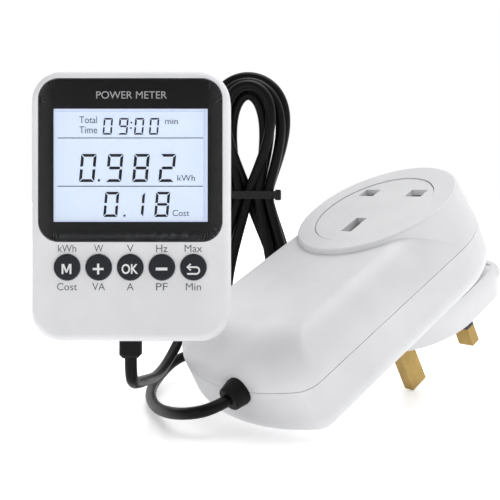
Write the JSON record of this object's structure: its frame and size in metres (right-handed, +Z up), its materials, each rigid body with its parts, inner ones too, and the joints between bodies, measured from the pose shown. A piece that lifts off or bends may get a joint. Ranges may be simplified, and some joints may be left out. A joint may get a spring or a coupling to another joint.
{
  "type": "plug-in energy meter with wired display",
  "caption": "Plug-through mains energy meter: a slanted plug unit with a shuttered socket on its back, wired to a five-key display on a stand, its spare cord tied in a hank.",
  "frame": {"origin": "middle of the underside of the two housings' common bounding box, on the table (the cord and its hank not counted)", "axes": "+Z up, +X to the right along the row's longest side, +Y to the back, so the display's face looks along -Y"},
  "size_m": [0.1558, 0.1056, 0.1194],
  "materials": {
    "white_shell": "fine satin moulding",
    "socket_plastic": "fine satin moulding",
    "display_case": "fine satin moulding",
    "lens": "clear gloss",
    "mask_black": "printed black behind the lens",
    "lcd": "pale blue-grey screen",
    "light_guide": "clear moulding",
    "button_rubber": "satin",
    "cord_black": "satin",
    "boot_black": "matte",
    "tie_black": "satin",
    "brass": "drawn and tumbled",
    "contact_bronze": "stamped",
    "sleeve_black": "satin",
    "steel": "zinc plated",
    "nickel_can": "nickel plated",
    "circuit_board": "solder-mask green",
    "chip_black": "matte",
    "switch_black": "matte",
    "capacitor_yellow": "gloss",
    "varistor_blue": "dipped gloss",
    "connector_cream": "matte",
    "carrier_grey": "matte",
    "strip_pink": "matte"
  },
  "bodies": {
    "housings": {"plug_upper_shell": "white_shell", "plug_lower_shell": "white_shell", "plug_base": "white_shell", "socket_insert": "socket_plastic", "display_front_case": "display_case", "display_rear_case": "display_case", "display_lens": "lens", "lens_mask": "mask_black", "lcd_panel": "lcd", "backlight_guide": "light_guide", "cord_display_run": "cord_black", "cord_plug_run": "cord_black", "cord_hank": "cord_black", "display_boot": "boot_black", "cable_gland": "boot_black", "hank_tie": "tie_black", "pin_earth": "brass", "pin_live": "brass", "pin_neutral": "brass", "contact_earth": "contact_bronze", "contact_live": "contact_bronze", "contact_neutral": "contact_bronze", "neutral_strap": "contact_bronze", "earth_strap": "contact_bronze", "shunt_strap": "contact_bronze", "sleeve_live": "sleeve_black", "sleeve_neutral": "sleeve_black", "shell_screws": "steel", "board_screws": "steel", "case_screws": "steel", "stand_pin": "steel", "shutter_spring": "steel", "cell_clip": "steel", "crystal": "nickel_can", "backup_cell": "nickel_can", "meter_board": "circuit_board", "display_board": "circuit_board", "metering_chip": "chip_black", "display_chip": "chip_black", "key_switches": "switch_black", "suppression_capacitor": "capacitor_yellow", "surge_varistor": "varistor_blue", "cord_socket": "connector_cream", "cord_header": "connector_cream", "contact_carrier": "carrier_grey", "screen_holder": "carrier_grey", "contact_strip": "strip_pink"},
    "key_mode": {"button_mode": "button_rubber"},
    "key_plus": {"button_plus": "button_rubber"},
    "key_ok": {"button_ok": "button_rubber"},
    "key_minus": {"button_minus": "button_rubber"},
    "key_back": {"button_back": "button_rubber"},
    "shutter": {"shutter": "socket_plastic"},
    "stand": {"tilt_stand": "display_case"}
  },
  "joints": [
    {"name": "button_mode_press", "type": "slide", "parent": "housings", "child": "key_mode", "axis": [0, 0.9976, -0.0691], "range_m": [0, 0.0005], "stiffness_N_per_m": 400, "springref_m": -0.0005},
    {"name": "button_plus_press", "type": "slide", "parent": "housings", "child": "key_plus", "axis": [0, 0.9976, -0.0691], "range_m": [0, 0.0005], "stiffness_N_per_m": 400, "springref_m": -0.0005},
    {"name": "button_ok_press", "type": "slide", "parent": "housings", "child": "key_ok", "axis": [0, 0.9976, -0.0691], "range_m": [0, 0.0005], "stiffness_N_per_m": 400, "springref_m": -0.0005},
    {"name": "button_minus_press", "type": "slide", "parent": "housings", "child": "key_minus", "axis": [0, 0.9976, -0.0691], "range_m": [0, 0.0005], "stiffness_N_per_m": 400, "springref_m": -0.0005},
    {"name": "button_back_press", "type": "slide", "parent": "housings", "child": "key_back", "axis": [0, 0.9976, -0.0691], "range_m": [0, 0.0005], "stiffness_N_per_m": 400, "springref_m": -0.0005},
    {"name": "shutter_slide", "type": "slide", "parent": "housings", "child": "shutter", "axis": [-0.6798, -0.5505, -0.4847], "range_m": [0, 0.005], "stiffness_N_per_m": 250, "springref_m": -0.001, "deforming": ["shutter_spring"]},
    {"name": "stand_hinge", "type": "hinge", "parent": "housings", "child": "stand", "pos_m": [-0.0483, -0.02711, 0.08039], "axis": [1, 0, 0], "range_deg": [0, 48]}
  ]
}
